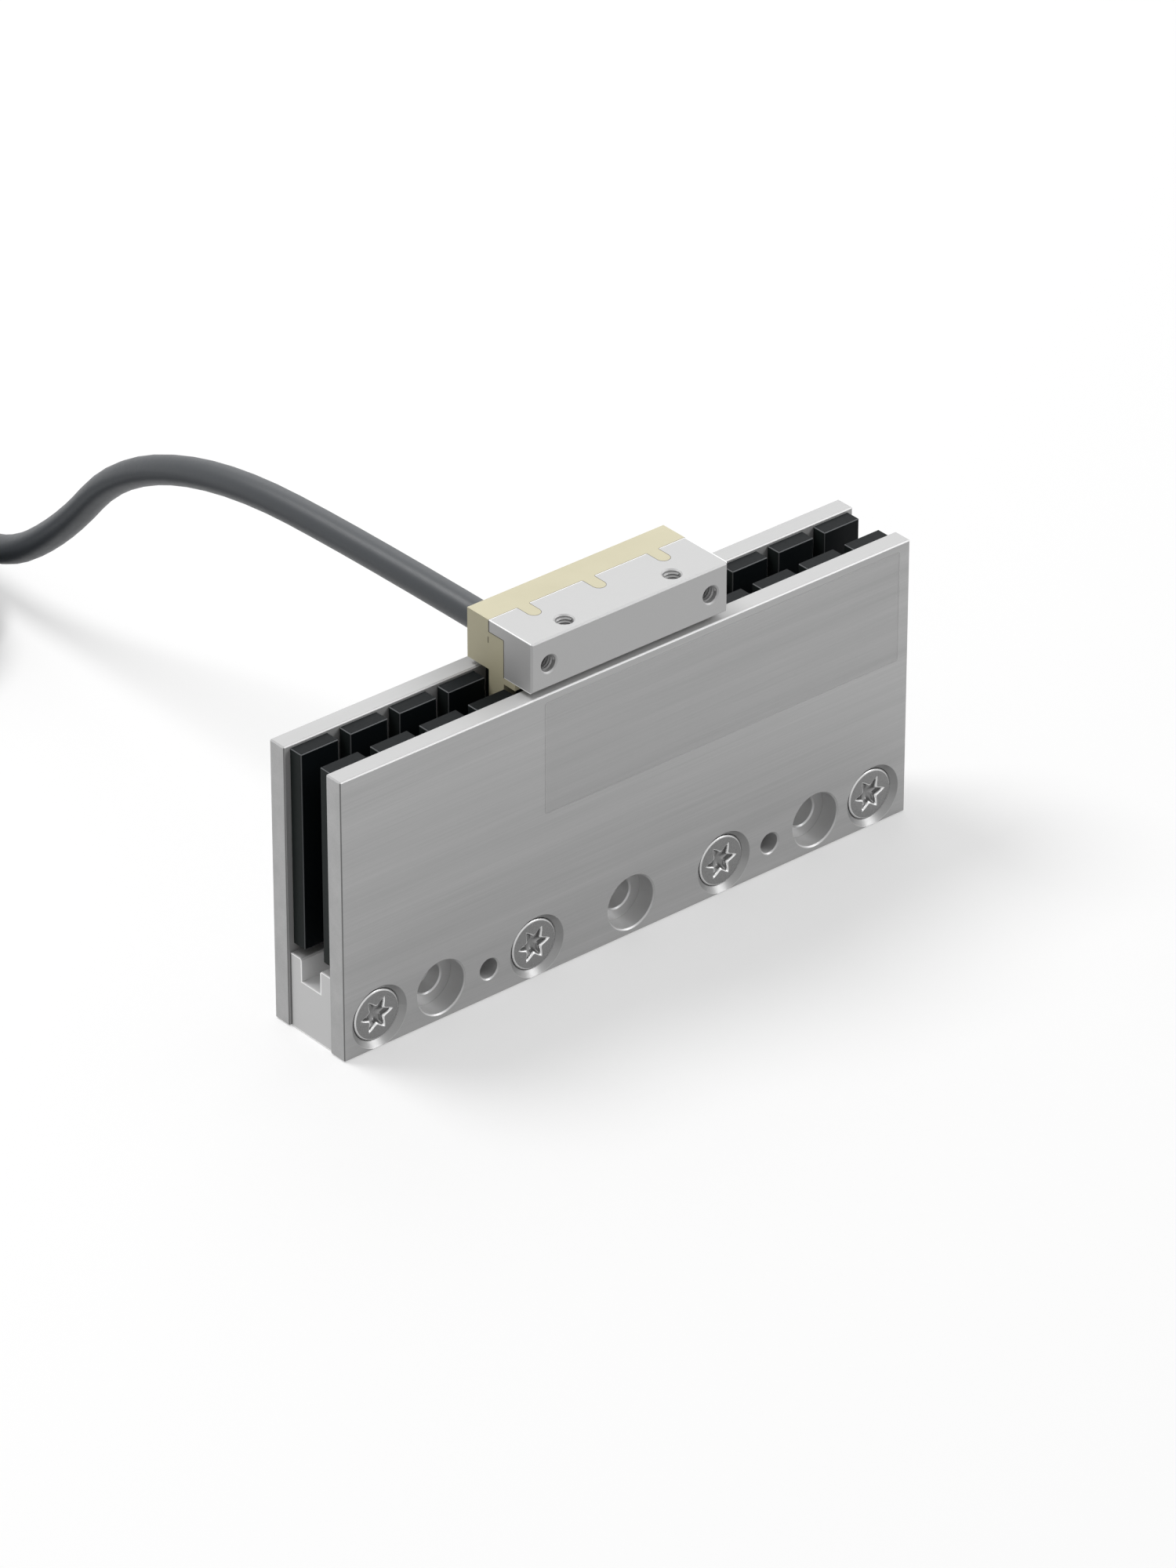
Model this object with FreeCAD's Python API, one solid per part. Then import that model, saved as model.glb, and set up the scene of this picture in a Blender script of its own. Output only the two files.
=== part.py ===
import FreeCAD, Part
import math
import os

# Ironless linear motor: a U-shaped magnet yoke and a flat coil unit that runs along it.
# Millimetres. +X runs along the travel, -Y is the side with the label place, +Z is up.
# The origin is the middle of the yoke's underside.

V = FreeCAD.Vector
Y_AXIS = V(0, 1, 0)
Z_AXIS = V(0, 0, 1)

# Magnet rows
magnet_count = 12
magnet_pitch = 8.25
module_magnets = 4
magnet_width = 6.3
magnet_thickness = 2.4
magnet_edge = 0.15
magnet_setback = 0.4
magnet_lift = 1.1
air_gap = 3.9

# Side plates
plate_thickness = 3.0
plate_height = 43.0
plate_edge = 0.2

# Base bar between the plates
base_height = 11.5
base_inset = 0.4
base_edge = 0.25
groove_depth = 3.5
groove_width = 3.9

# Mounting holes across the yoke
mount_height = 5.0
mount_hole_diameter = 4.5
mount_recess_diameter = 8.0
hole_edge = 0.2
dowel_diameter = 3.0
dowel_height = 4.5

# Countersunk screws that hold the plates to the base bar
screw_end_margin = 6.0
screw_height = 4.75
screw_diameter = 4.0
screw_head_diameter = 7.6
screw_head_edge = 0.25
screw_recess = 0.6
screw_seat_gap = 0.02
screw_hole_gap = 0.25
screw_thread_gap = 0.05
screw_tip_gap = 0.65
screw_tip_edge = 0.4
star_diameter = 5.2
star_waist = 3.6
star_tip_radius = 0.3
star_depth = 1.1
star_floor_depth = 0.45
star_floor_diameter = 1.0

# Coil unit
coil_unit_offset = -0.2
blade_thickness = 3.08
blade_clearance = 1.2
head_height = 7.5
head_lift = 0.9
head_depth_front = 7.25
head_depth_rear = 6.2
head_edge = 0.25

# Aluminium mounting bar of the coil unit
lip_thickness = 1.8
bar_corner_radius = 0.4
key_count = 3
key_spacing = 11.2
key_width = 2.0
key_offset = 0.1
key_root_radius = 0.25
key_overreach = 0.16
foot_reach = 2.3
foot_clearance = 0.35
tapped_hole_diameter = 2.5
tapped_hole_depth = 4.0
top_hole_spacing = 18.6
top_hole_setback = 2.5
side_hole_spacing = 28.0
side_hole_lift = 3.6

# Windings, board and sensor cast into the epoxy
winding_count = 3
winding_end_cover = 0.5
winding_gap = 0.3
winding_band = 3.2
winding_thickness = 2.0
winding_corner_radius = 3.0
winding_inner_radius = 0.6
winding_top_cover = 1.6
winding_bottom_cover = 0.8
cast_gap = 0.05
board_thickness = 1.0
board_length = 30.0
board_height = 5.2
board_setback = 0.5
sensor_length = 3.0
sensor_height = 1.6
sensor_thickness = 1.0
sensor_x = 5.0

# Cable
cable_diameter = 4.3
cable_end_margin = 3.8
bushing_wall = 0.8
bushing_gap = 0.05
coil_layers = 2
coil_turns = 3
turn_gap = 0.15
coil_middle_radius = 24.3
coil_centre_x = -40.0
coil_centre_y = 133.5
bend_share = 0.45
joint_share = 0.57
end_sink = 3.0
tie_thickness = 0.8
tie_width = 2.5
tie_gap = 0.1
tie_head = 4.0
tie_angle = 55.0
sleeve_diameter = 5.0
sleeve_length = 12.0
lead_count = 6
lead_diameter = 1.2
lead_spacing = 2.6
lead_straight = 4.0
lead_length = 19.0
lead_rest_share = 1.2
ferrule_diameter = 1.5
ferrule_length = 6.0

# Sizes that follow from the ones above
yoke_length = magnet_count * magnet_pitch
mount_spacing = module_magnets * magnet_pitch
winding_pitch = mount_spacing / winding_count
coil_unit_length = mount_spacing + 2 * winding_end_cover
base_width = air_gap + 2 * magnet_thickness
plate_face = base_width / 2
yoke_side = plate_face + plate_thickness
magnet_top = plate_height - magnet_setback
magnet_bottom = base_height + magnet_lift
groove_floor = base_height - groove_depth
half_blade = blade_thickness / 2
blade_bottom = groove_floor + blade_clearance
head_bottom = plate_height + head_lift
head_top = head_bottom + head_height
head_middle = head_bottom + head_height / 2
lip_bottom = head_top - lip_thickness
foot_bottom = magnet_top + foot_clearance
unit_left = coil_unit_offset - coil_unit_length / 2
cable_x = unit_left + cable_end_margin
screw_length = plate_thickness - screw_recess + base_width / 2 - screw_tip_gap
winding_top = lip_bottom - winding_top_cover
winding_bottom = blade_bottom + winding_bottom_cover
board_front = half_blade + board_setback
board_rear = board_front + board_thickness
cable_radius = cable_diameter / 2
coil_lift = tie_thickness
turn_reach = (coil_turns - 1) / 2 * (cable_diameter + turn_gap)
inner_turn = coil_middle_radius - turn_reach
outer_turn = coil_middle_radius + turn_reach
coil_inner = inner_turn - cable_radius
coil_outer = outer_turn + cable_radius
coil_top = coil_lift + coil_layers * cable_diameter
top_layer = coil_top - cable_radius
bottom_layer = coil_lift + cable_radius

# Where the cable runs: out of the head, down and onto the outer turn of the coil's top layer
cable_route = [
    V(cable_x, board_rear, head_middle),
    V(cable_x, 32.0, head_middle),
    V(-13.3, 63.0, 45.9),
    V(-13.0, 87.0, 36.5),
    V(-12.5, 101.5, 20.0),
    V(-11.9, 117.0, 8.6),
    V(coil_centre_x + outer_turn, coil_centre_y, top_layer),
]

# The loose end: off the bottom layer on the coil's far side and along the surface
tail_route = [
    V(coil_centre_x - outer_turn, coil_centre_y, bottom_layer),
    V(-68.9, 123.2, 2.85),
    V(-69.2, 113.0, 2.6),
    V(-69.8, 104.0, 2.5),
    V(-70.8, 96.0, 2.5),
]


def block(x0, x1, y0, y1, z0, z1):
    return Part.makeBox(x1 - x0, y1 - y0, z1 - z0, V(x0, y0, z0))


def chamfered(shape, size):
    return shape.makeChamfer(size, shape.Edges)


def cylinder(x, y, z, radius, length, direction):
    return Part.makeCylinder(radius, length, V(x, y, z), direction)


def joined(shapes):
    return shapes[0].fuse(shapes[1:]).removeSplitter()


def copies(shape, places):
    return [shape.translated(place) for place in places]


def outlined(points, arcs):
    # A flat face with straight sides, apart from those whose number has a middle point in arcs
    edges = []
    for i, start in enumerate(points):
        end = points[(i + 1) % len(points)]
        if i in arcs:
            edges.append(Part.Arc(start, arcs[i], end).toShape())
        else:
            edges.append(Part.LineSegment(start, end).toShape())
    return Part.Face(Part.Wire(edges))


def along_y(edge):
    return abs(edge.tangentAt(edge.FirstParameter).dot(Y_AXIS)) > math.sqrt(0.5)


def rounded_box(x0, x1, y0, y1, z0, z1, radius):
    # A box whose four edges along Y are rounded
    box = block(x0, x1, y0, y1, z0, z1)
    return box.makeFillet(radius, [e for e in box.Edges if along_y(e)])


def edged_hole(x, y, z, radius, depth, direction):
    # A drilled hole with a small chamfer at its mouth
    mouth = Part.makeCone(radius + hole_edge, radius, hole_edge, V(x, y, z), direction)
    return [cylinder(x, y, z, radius, depth, direction), mouth]


def rear_side(shape):
    return shape.mirror(V(0, 0, 0), Y_AXIS)


def mount_places():
    modules = magnet_count // module_magnets
    return [(i - (modules - 1) / 2) * mount_spacing for i in range(modules)]


def screw_places():
    bays = len(mount_places())
    inner = [(i - bays / 2) * mount_spacing for i in range(1, bays)]
    end = yoke_length / 2 - screw_end_margin
    return [-end] + inner + [end]


def dowel_places():
    outer = mount_places()[-1] - mount_spacing / 4
    return [-outer, outer]


def countersink():
    # The cut for one screw in the front plate, about the screw's axis on the plate's face
    head = screw_head_diameter / 2
    rim = head + screw_recess + screw_head_edge + screw_seat_gap
    hole = screw_diameter / 2 + screw_hole_gap
    points = [
        V(0, 0, 0),
        V(rim, 0, 0),
        V(hole, rim - hole, 0),
        V(hole, plate_thickness, 0),
        V(0, plate_thickness, 0),
    ]
    return outlined(points, {}).revolve(V(0, 0, 0), Y_AXIS, 360)


def star_prism():
    # Six-lobed driver recess, cut from the head's flat top at y = 0 towards +Y
    tip = star_diameter / 2 - star_tip_radius
    waist = star_waist / 2
    spread = math.sqrt(3) * tip * waist + star_tip_radius**2 - tip**2 - waist**2
    hollow = spread / (2 * waist - math.sqrt(3) * tip - 2 * star_tip_radius)
    edges = []

    def polar(distance, angle):
        return V(distance * math.cos(angle), 0, distance * math.sin(angle))

    def meeting(centre, other):
        return centre + (other - centre).normalize() * star_tip_radius

    for i in range(6):
        angle = i * math.pi / 3
        centre = polar(tip, angle)
        before = polar(waist + hollow, angle - math.pi / 6)
        after = polar(waist + hollow, angle + math.pi / 6)
        following = polar(tip, angle + math.pi / 3)
        start = meeting(centre, V(before))
        end = meeting(centre, V(after))
        lobe = Part.Arc(start, polar(star_diameter / 2, angle), end)
        valley = Part.Arc(end, polar(waist, angle + math.pi / 6), meeting(following, V(after)))
        edges += [lobe.toShape(), valley.toShape()]
    prism = Part.Face(Part.Wire(edges)).extrude(V(0, star_depth, 0))
    floor = Part.makeCone(waist, star_floor_diameter / 2, star_floor_depth, V(0, star_depth, 0), Y_AXIS)
    return prism.fuse(floor)


def plate_screw():
    # One countersunk screw, its head's top at y = 0 and its shank towards +Y
    head = screw_head_diameter / 2
    shank = screw_diameter / 2
    under = screw_head_edge + head - shank
    points = [
        V(0, 0, 0),
        V(head - screw_head_edge, 0, 0),
        V(head, screw_head_edge, 0),
        V(shank, under, 0),
        V(shank, screw_length - screw_tip_edge, 0),
        V(shank - screw_tip_edge, screw_length, 0),
        V(0, screw_length, 0),
    ]
    return outlined(points, {}).revolve(V(0, 0, 0), Y_AXIS, 360).cut(star_prism())


def screws():
    # The front row, seated in the front plate
    top = -yoke_side + screw_recess
    return copies(plate_screw(), [V(x, top, screw_height) for x in screw_places()])


def plate_drillings():
    face = -yoke_side
    cuts = copies(countersink(), [V(x, face, screw_height) for x in screw_places()])
    for x in mount_places():
        cuts += edged_hole(x, face, mount_height, mount_recess_diameter / 2, plate_thickness, Y_AXIS)
    for x in dowel_places():
        cuts += edged_hole(x, face, dowel_height, dowel_diameter / 2, plate_thickness, Y_AXIS)
    return cuts


def side_plate():
    # The front plate; its outer face is at y = -yoke_side
    end = yoke_length / 2
    plate = chamfered(block(-end, end, -yoke_side, -plate_face, 0, plate_height), plate_edge)
    return plate.cut(plate_drillings())


def base_bar():
    # A bar with a groove along its top, in which the coil blade's lower edge runs
    end = yoke_length / 2 - base_inset
    outer = base_width / 2
    inner = groove_width / 2
    outline = [
        V(-end, -outer, 0),
        V(-end, outer, 0),
        V(-end, outer, base_height - base_edge),
        V(-end, outer - base_edge, base_height),
        V(-end, inner + base_edge, base_height),
        V(-end, inner, base_height - base_edge),
        V(-end, inner, groove_floor),
        V(-end, -inner, groove_floor),
        V(-end, -inner, base_height - base_edge),
        V(-end, -inner - base_edge, base_height),
        V(-end, -outer + base_edge, base_height),
        V(-end, -outer, base_height - base_edge),
    ]
    bar = outlined(outline, {}).extrude(V(2 * end, 0, 0))
    cuts = []
    for x in mount_places():
        radius = mount_hole_diameter / 2
        cuts += edged_hole(x, -outer, mount_height, radius, base_width, Y_AXIS)
        cuts += edged_hole(x, outer, mount_height, radius, base_width / 2, -Y_AXIS)
    for x in dowel_places():
        cuts.append(cylinder(x, -outer, dowel_height, dowel_diameter / 2, base_width, Y_AXIS))
    for x in screw_places():
        radius = screw_diameter / 2 + screw_thread_gap
        cuts.append(cylinder(x, -outer, screw_height, radius, base_width, Y_AXIS))
    return bar.cut(cuts)


def magnet(index, inner_face):
    # One magnet of the front row, glued to the plate's inner face
    x = (index - (magnet_count - 1) / 2) * magnet_pitch
    half = magnet_width / 2
    box = block(x - half, x + half, -plate_face, -inner_face, magnet_bottom, magnet_top)
    return chamfered(box, magnet_edge)


def key_outlines():
    # Epoxy keys in the bar's top: a round tip, straight sides and a filleted root
    half = key_width / 2
    tip = -half_blade - key_overreach
    root = half + key_root_radius
    bend = key_root_radius * (1 - math.sqrt(0.5))
    y = half_blade
    points = [
        V(-root, y, 0),
        V(-half, y - key_root_radius, 0),
        V(-half, tip + half, 0),
        V(half, tip + half, 0),
        V(half, y - key_root_radius, 0),
        V(root, y, 0),
    ]
    arcs = {
        0: V(-half - bend, y - bend, 0),
        2: V(0, tip, 0),
        4: V(half + bend, y - bend, 0),
    }
    key = outlined(points, arcs).extrude(V(0, 0, lip_thickness))
    middle = (key_count - 1) / 2
    first = coil_unit_offset + key_offset
    places = [V(first + (i - middle) * key_spacing, 0, lip_bottom) for i in range(key_count)]
    return copies(key, places)


def front_uprights(bar, front, edge):
    # The upright front edges at the bar's two ends
    found = []
    for e in bar.Edges:
        ends = [v.Point for v in e.Vertexes]
        upright = abs(ends[0].z - ends[-1].z) > lip_thickness
        if upright and all(abs(point.y - front) < edge / 2 for point in ends):
            found.append(e)
    return found


def mounting_bar():
    # L-shaped aluminium bar: its lip lies over the blade, its flange hangs beside it
    front = -head_depth_front
    blade = half_blade
    bend = bar_corner_radius * (1 - math.sqrt(0.5))
    edge = head_edge
    outline = [
        V(unit_left, front, head_bottom + edge),
        V(unit_left, front, head_top - edge),
        V(unit_left, front + edge, head_top),
        V(unit_left, blade, head_top),
        V(unit_left, blade, lip_bottom),
        V(unit_left, -blade + bar_corner_radius, lip_bottom),
        V(unit_left, -blade, lip_bottom - bar_corner_radius),
        V(unit_left, -blade, head_bottom),
        V(unit_left, front + edge, head_bottom),
    ]
    arcs = {5: V(unit_left, -blade + bend, lip_bottom - bend)}
    bar = outlined(outline, arcs).extrude(V(coil_unit_length, 0, 0))
    bar = bar.makeChamfer(edge, front_uprights(bar, front, edge))
    middle = coil_unit_offset
    radius = tapped_hole_diameter / 2
    cuts = key_outlines()
    for side in (-1, 1):
        x = middle + side * top_hole_spacing / 2
        cuts += edged_hole(x, front + top_hole_setback, head_top, radius, tapped_hole_depth, -Z_AXIS)
        x = middle + side * side_hole_spacing / 2
        z = head_bottom + side_hole_lift
        cuts += edged_hole(x, front, z, radius, tapped_hole_depth, Y_AXIS)
    return bar.cut(cuts)


def winding(index, gap):
    # A flat oblong coil, or with a gap the hollow that it is cast in
    x = coil_unit_offset + (index - (winding_count - 1) / 2) * winding_pitch
    half = (winding_pitch - winding_gap) / 2
    thick = winding_thickness / 2 + gap
    outer = rounded_box(
        x - half - gap, x + half + gap, -thick, thick, winding_bottom - gap, winding_top + gap,
        winding_corner_radius,
    )
    band = winding_band + gap
    inner = rounded_box(
        x - half + band, x + half - band, -thick, thick, winding_bottom + band, winding_top - band,
        winding_inner_radius,
    )
    return outer.cut(inner)


def wiring_board(gap):
    half = board_length / 2 + gap
    middle = coil_unit_offset
    tall = board_height / 2 + gap
    z = head_middle
    return block(middle - half, middle + half, board_front - gap, board_rear + gap, z - tall, z + tall)


def temperature_sensor(gap):
    half = sensor_length / 2 + gap
    tall = sensor_height / 2 + gap
    z = head_middle
    rear = board_rear + sensor_thickness + gap
    return block(sensor_x - half, sensor_x + half, board_rear, rear, z - tall, z + tall)


def cable_bushing():
    radius = cable_radius + bushing_gap
    length = head_depth_rear - board_rear
    ring = cylinder(cable_x, board_rear, head_middle, radius + bushing_wall, length, Y_AXIS)
    return ring.cut(cylinder(cable_x, board_rear, head_middle, radius, length, Y_AXIS))


def epoxy_body():
    # Cast blade, head and keys in one piece, with the hollows that its inner pieces fill
    right = unit_left + coil_unit_length
    blade = block(unit_left, right, -half_blade, half_blade, blade_bottom, lip_bottom)
    corner = [
        e for e in blade.Edges
        if all(abs(v.Y + half_blade) + abs(v.Z - lip_bottom) < half_blade / 10 for v in e.Vertexes)
    ]
    blade = blade.makeFillet(bar_corner_radius, corner)
    head = block(unit_left, right, half_blade, head_depth_rear, head_bottom, head_top)
    rear = [
        e for e in head.Edges
        if all(abs(v.Y - head_depth_rear) < head_edge / 2 for v in e.Vertexes)
    ]
    head = head.makeChamfer(head_edge, rear)
    foot = block(unit_left, right, -half_blade - foot_reach, -half_blade, foot_bottom, head_bottom)
    body = joined([blade, head, foot] + key_outlines())
    cuts = [winding(i, cast_gap) for i in range(winding_count)]
    cuts.append(wiring_board(cast_gap))
    cuts.append(temperature_sensor(cast_gap))
    bore = cable_radius + bushing_gap + bushing_wall
    cuts.append(cylinder(cable_x, board_rear, head_middle, bore, head_depth_rear - board_rear, Y_AXIS))
    return body.cut(cuts)


def arc_at(before, corner, after):
    # The tangent arc's start, middle, end and radius, as large as the two runs allow
    a = before - corner
    b = after - corner
    reach = bend_share * min(a.Length, b.Length)
    turn = math.pi - a.getAngle(b)
    radius = reach / math.tan(turn / 2)
    start = corner + V(a).normalize() * reach
    end = corner + V(b).normalize() * reach
    inward = (V(a).normalize() + V(b).normalize()).normalize()
    middle = corner + inward * (radius / math.cos(turn / 2) - radius)
    return start, middle, end, radius


def corner_arcs(route):
    return [arc_at(*corner) for corner in zip(route, route[1:], route[2:])]


def cord_path(first, arcs, last):
    # Straight runs from first to last, joined by the given tangent arcs
    edges = []
    here = first
    for start, middle, end, _ in arcs:
        edges.append(Part.LineSegment(here, start).toShape())
        edges.append(Part.Arc(start, middle, end).toShape())
        here = end
    edges.append(Part.LineSegment(here, last).toShape())
    return Part.Wire(edges)


def cord(first, arcs, last, diameter, name):
    path = cord_path(first, arcs, last)
    ring = Part.Circle(first, arcs[0][0] - first, diameter / 2).toShape()
    solid = path.makePipeShell([Part.Wire([ring])], True, False)
    share = solid.Volume / (path.Length * math.pi * diameter**2 / 4)
    radii = [round(arc[3], 1) for arc in arcs]
    print(name, "length", round(path.Length, 1), "volume share", round(share, 4), "radii", radii)
    return solid


def between(start, end, share):
    return start + (end - start) * share


def cable_joint():
    # Where the cable's tube meets the end of cable that belongs to the coil
    return between(cable_route[-3], cable_route[-2], joint_share)


def tail_joint():
    return between(tail_route[1], tail_route[2], joint_share)


def short_of(end, before):
    return end + V(before - end).normalize() * end_sink


def coil_ring():
    # The outer shape of the wound turns: a ring whose section is an oblong with cut corners
    x = coil_centre_x
    y = coil_centre_y
    near, far = x + coil_inner, x + coil_outer
    low, high = coil_lift, coil_top
    cut = cable_radius * (2 - math.sqrt(2))
    points = [
        V(near + cut, y, low),
        V(far - cut, y, low),
        V(far, y, low + cut),
        V(far, y, high - cut),
        V(far - cut, y, high),
        V(near + cut, y, high),
        V(near, y, high - cut),
        V(near, y, low + cut),
    ]
    return outlined(points, {}).revolve(V(x, y, 0), Z_AXIS, 360)


def cable_coil():
    # The wound turns, with the cable's last bend before them and first bend after them
    arcs = corner_arcs(cable_route)
    inside = short_of(cable_route[-1], cable_route[-2])
    entry = cord(cable_joint(), arcs[-1:], inside, cable_diameter, "coil entry")
    arcs = corner_arcs(tail_route)
    inside = short_of(tail_route[0], tail_route[1])
    leaving = cord(inside, arcs[:1], tail_joint(), cable_diameter, "coil exit")
    return coil_ring().fuse([entry, leaving])


def cable():
    return cord(cable_route[0], corner_arcs(cable_route)[:-1], cable_joint(), cable_diameter, "cable")


def cable_tail():
    arcs = corner_arcs(tail_route)[1:]
    return cord(tail_joint(), arcs, tail_route[-1], cable_diameter, "cable tail")


def cable_tie():
    # A strap round the bundle of turns, with its lock on top
    x0 = coil_inner - tie_gap
    x1 = coil_outer + tie_gap
    z1 = coil_top + tie_gap
    half = tie_width / 2
    wall = tie_thickness
    strap = block(x0 - wall, x1 + wall, -half, half, coil_lift - wall, z1 + wall)
    strap = strap.makeFillet(wall, [e for e in strap.Edges if along_y(e)])
    strap = strap.cut(block(x0, x1, -half, half, coil_lift, z1))
    lock = block(
        coil_middle_radius - tie_head / 2, coil_middle_radius + tie_head / 2,
        -tie_head / 2, tie_head / 2, z1, z1 + 2 * wall + half,
    )
    tie = joined([strap, lock.makeChamfer(wall / 2, lock.Edges)])
    tie.rotate(V(0, 0, 0), Z_AXIS, tie_angle)
    tie.translate(V(coil_centre_x, coil_centre_y, 0))
    return tie


def tail_direction():
    return V(tail_route[-1] - tail_route[-2]).normalize()


def end_sleeve():
    # Shrunk tube over the end of the jacket
    tube = Part.makeCylinder(sleeve_diameter / 2, sleeve_length, tail_route[-1], tail_direction())
    return tube.makeChamfer(lead_diameter / 4, [e for e in tube.Edges if e.Closed])


def lead_routes():
    # Insulated cores: straight out of the sleeve, then fanning out and down to the surface
    along = tail_direction()
    across = V(-along.y, along.x, 0)
    mouth = tail_route[-1] + along * sleeve_length
    reach = lead_straight + lead_length + ferrule_length
    down = V(0, 0, lead_rest_share * ferrule_diameter / 2 - mouth.z)
    angles = [(i + 0.5) / lead_count * math.tau for i in range(lead_count)]
    radius = sleeve_diameter / 2 - lead_diameter
    routes = []
    for angle in angles:
        offset = across * (radius * math.cos(angle)) + V(0, 0, radius * math.sin(angle))
        rank = sum((math.cos(a), a) < (math.cos(angle), angle) for a in angles)
        side = across * ((rank - (lead_count - 1) / 2) * lead_spacing)
        corner = mouth + offset + along * lead_straight
        tip = mouth + side + down + along * reach
        back = V(corner - tip).normalize() * ferrule_length
        routes.append([mouth + offset, corner, tip + back])
    return routes


def lead_wires():
    return [cord(r[0], corner_arcs(r), r[-1], lead_diameter, "lead") for r in lead_routes()]


def lead_ferrules():
    radius = ferrule_diameter / 2
    return [Part.makeCylinder(radius, ferrule_length, r[-1], r[-1] - r[-2]) for r in lead_routes()]


def save(name, shapes):
    solids = [s for shape in shapes for s in shape.Solids]
    shape = solids[0] if len(solids) == 1 else Part.makeCompound(solids)
    shape.exportStep(os.path.join("parts", name + ".step"))
    print(name, "solids", len(solids), "valid", all(s.isValid() for s in solids),
          "volume", round(sum(s.Volume for s in solids), 2))


os.makedirs("parts", exist_ok=True)
save("front_plate", [side_plate()])
save("rear_plate", [rear_side(side_plate())])
save("base_bar", [base_bar()])
for number in range(magnet_count):
    piece = magnet(number, air_gap / 2)
    save(f"front_magnet_{number + 1:02d}", [piece])
    save(f"rear_magnet_{number + 1:02d}", [rear_side(piece)])
save("front_screws", screws())
save("rear_screws", [rear_side(screw) for screw in screws()])
save("mounting_bar", [mounting_bar()])
save("epoxy_body", [epoxy_body()])
for number, phase in enumerate("uvw"[:winding_count]):
    save("winding_" + phase, [winding(number, 0)])
save("wiring_board", [wiring_board(0)])
save("temperature_sensor", [temperature_sensor(0)])
save("cable_bushing", [cable_bushing()])
save("cable", [cable()])
save("cable_coil", [cable_coil()])
save("cable_tail", [cable_tail()])
save("cable_tie", [cable_tie()])
save("end_sleeve", [end_sleeve()])
save("lead_wires", lead_wires())
save("lead_ferrules", lead_ferrules())
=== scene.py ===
import math

import bmesh
import bpy
from mathutils import Matrix, Vector


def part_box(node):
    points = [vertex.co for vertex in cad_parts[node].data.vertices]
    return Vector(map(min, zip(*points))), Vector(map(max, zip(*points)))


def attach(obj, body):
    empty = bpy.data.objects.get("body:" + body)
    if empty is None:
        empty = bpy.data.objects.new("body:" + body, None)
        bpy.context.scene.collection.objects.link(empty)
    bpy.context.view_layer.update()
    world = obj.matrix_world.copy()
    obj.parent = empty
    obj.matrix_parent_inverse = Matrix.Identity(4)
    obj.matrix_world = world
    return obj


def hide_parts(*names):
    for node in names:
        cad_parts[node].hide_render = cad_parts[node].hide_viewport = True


# The linear motor's looks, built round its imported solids. Metres; +X runs along the travel,
# -Y is the front and +Z is up.
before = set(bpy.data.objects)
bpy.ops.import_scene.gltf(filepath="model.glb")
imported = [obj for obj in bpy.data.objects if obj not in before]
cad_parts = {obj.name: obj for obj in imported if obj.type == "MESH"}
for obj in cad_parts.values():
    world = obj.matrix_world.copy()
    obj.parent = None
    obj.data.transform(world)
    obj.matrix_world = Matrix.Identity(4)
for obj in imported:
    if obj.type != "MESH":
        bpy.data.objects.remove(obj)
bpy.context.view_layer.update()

# Camera
# The photograph's own view, from the front and the left, looking down on the yoke through a long lens.
# The picture's long side takes the sensor's whole width.
view_turn = math.radians(40.16)
view_tilt = math.radians(31.17)
view_aim = Vector((-0.001333, 0.000086, 0.020688))
view_distance = 1.16272
picture_lens = 199.22
sensor_width = 36
nearest_seen = 0.05
farthest_seen = 20


def placed(name, data):
    made = bpy.data.objects.new(name, data)
    bpy.context.scene.collection.objects.link(made)
    return made


eye = bpy.data.cameras.new("camera")
eye.lens = picture_lens
eye.sensor_width = sensor_width
eye.clip_start = nearest_seen
eye.clip_end = farthest_seen
camera = placed("camera", eye)
camera.rotation_euler = (math.pi / 2 - view_tilt, 0, -view_turn)
camera.location = view_aim + camera.rotation_euler.to_matrix() @ Vector((0, 0, view_distance))
bpy.context.scene.camera = camera
bpy.context.scene.view_settings.view_transform = "Standard"


# Cable
# A round flexible cable with a dark grey jacket, cast straight into the coil unit's head.
# It runs back, droops to the surface and lies there in a tied round coil, its loose end in front.
cable_radius = 0.00215
cable_exit = (-0.0134, 0.0062, 0.04765)
round_detail = 7
spline_steps = 6
cable_run = [
    (cable_exit[0], 0.00304, cable_exit[2]),
    (cable_exit[0], 0.0320, cable_exit[2]),
    (-0.0133, 0.0630, 0.0459),
    (-0.0130, 0.0870, 0.0365),
    (-0.0125, 0.1015, 0.0200),
    (-0.0119, 0.1170, 0.0086),
]
tail_run = [
    (-0.0689, 0.1232, 0.00285),
    (-0.0692, 0.1130, 0.0026),
    (-0.0698, 0.1040, 0.0025),
    (-0.0708, 0.0960, 0.0025),
]
coil_centre = Vector((-0.040, 0.1335, 0))
coil_radius = 0.02875
coil_lift = 0.0008
turn_pitch = 0.00445
layer_pitch = 2 * cable_radius
turn_points = 24
turn_total = 5.5
step_share = 0.15
# Where each step begins, in turns, and how many turns it goes outwards and layers it goes up
turn_steps = [(0.80, -1, 0), (1.80, -1, 0), (2.65, 0, -1), (3.50, 1, 0), (4.50, 1, 0)]


def eased(share):
    share = min(max(share, 0), 1)
    return share * share * (3 - 2 * share)


def coil_point(turn):
    radius = coil_radius
    height = coil_lift + cable_radius + layer_pitch
    for start, outwards, upwards in turn_steps:
        done = eased((turn - start) / step_share)
        radius += outwards * done * turn_pitch
        height += upwards * done * layer_pitch
    # A spline runs a little inside its control points
    radius /= math.cos(math.pi / turn_points)
    angle = turn * math.tau
    return coil_centre + Vector((radius * math.cos(angle), radius * math.sin(angle), height))


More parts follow.
